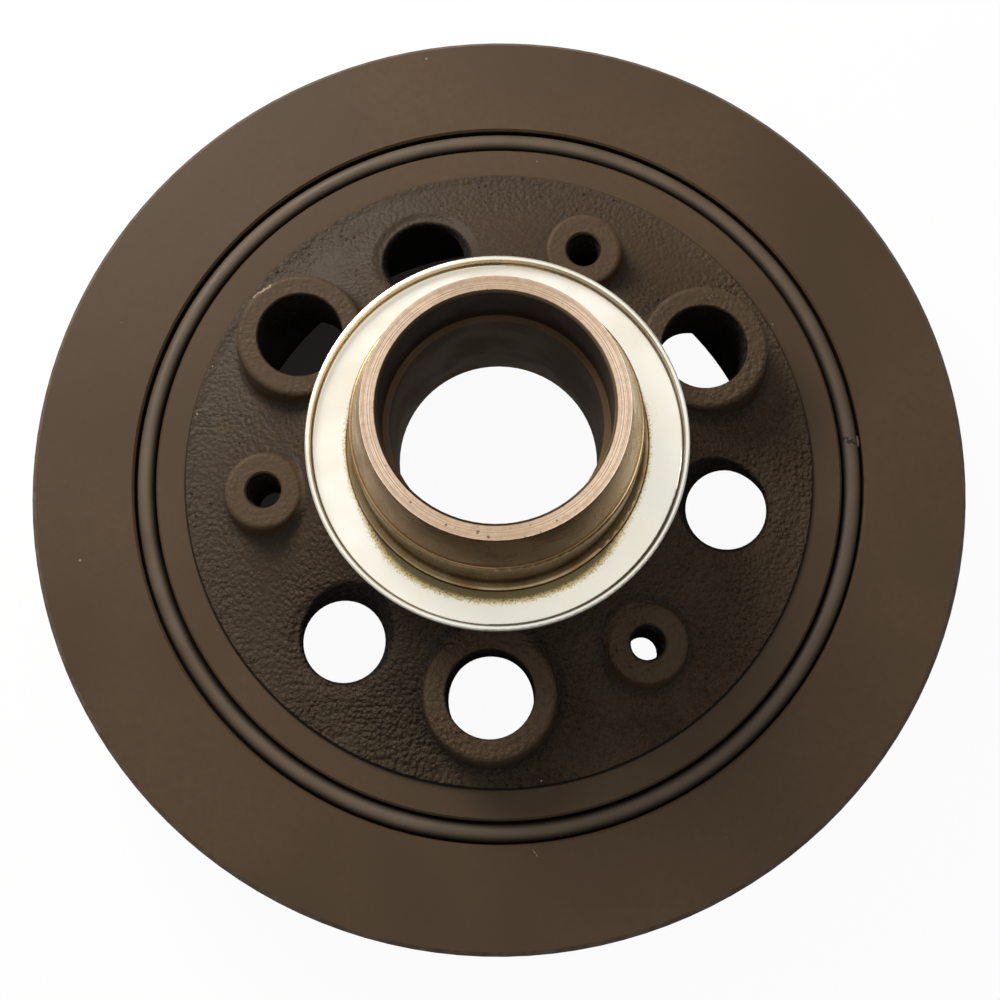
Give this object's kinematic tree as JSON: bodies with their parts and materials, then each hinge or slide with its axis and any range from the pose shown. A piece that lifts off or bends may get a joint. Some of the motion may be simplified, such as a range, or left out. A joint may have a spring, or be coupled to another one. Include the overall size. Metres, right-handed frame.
{
  "type": "harmonic balancer",
  "caption": "Crankshaft harmonic balancer: iron hub with snout and dust shield, rubber ring and heavy outer inertia ring.",
  "frame": {"origin": "centre of the front face that the balancer lies on, on the crankshaft's axis", "axes": "+Z along the crankshaft's axis towards the engine, up the snout; one of the three bored holes lies on -Y"},
  "size_m": [0.19, 0.19, 0.0898],
  "materials": {
    "ring_paint": "thin satin black paint over turned iron",
    "rubber": "matt black moulded rubber with a dusty bloom",
    "hub_iron": "thin satin black paint over cast iron, bare turned metal on the snout",
    "shield_plate": "bright plated pressed steel"
  },
  "bodies": {
    "root": {"inertia_ring": "ring_paint", "rubber_ring": "rubber", "hub": "hub_iron", "dust_shield": "shield_plate"}
  },
  "joints": []
}
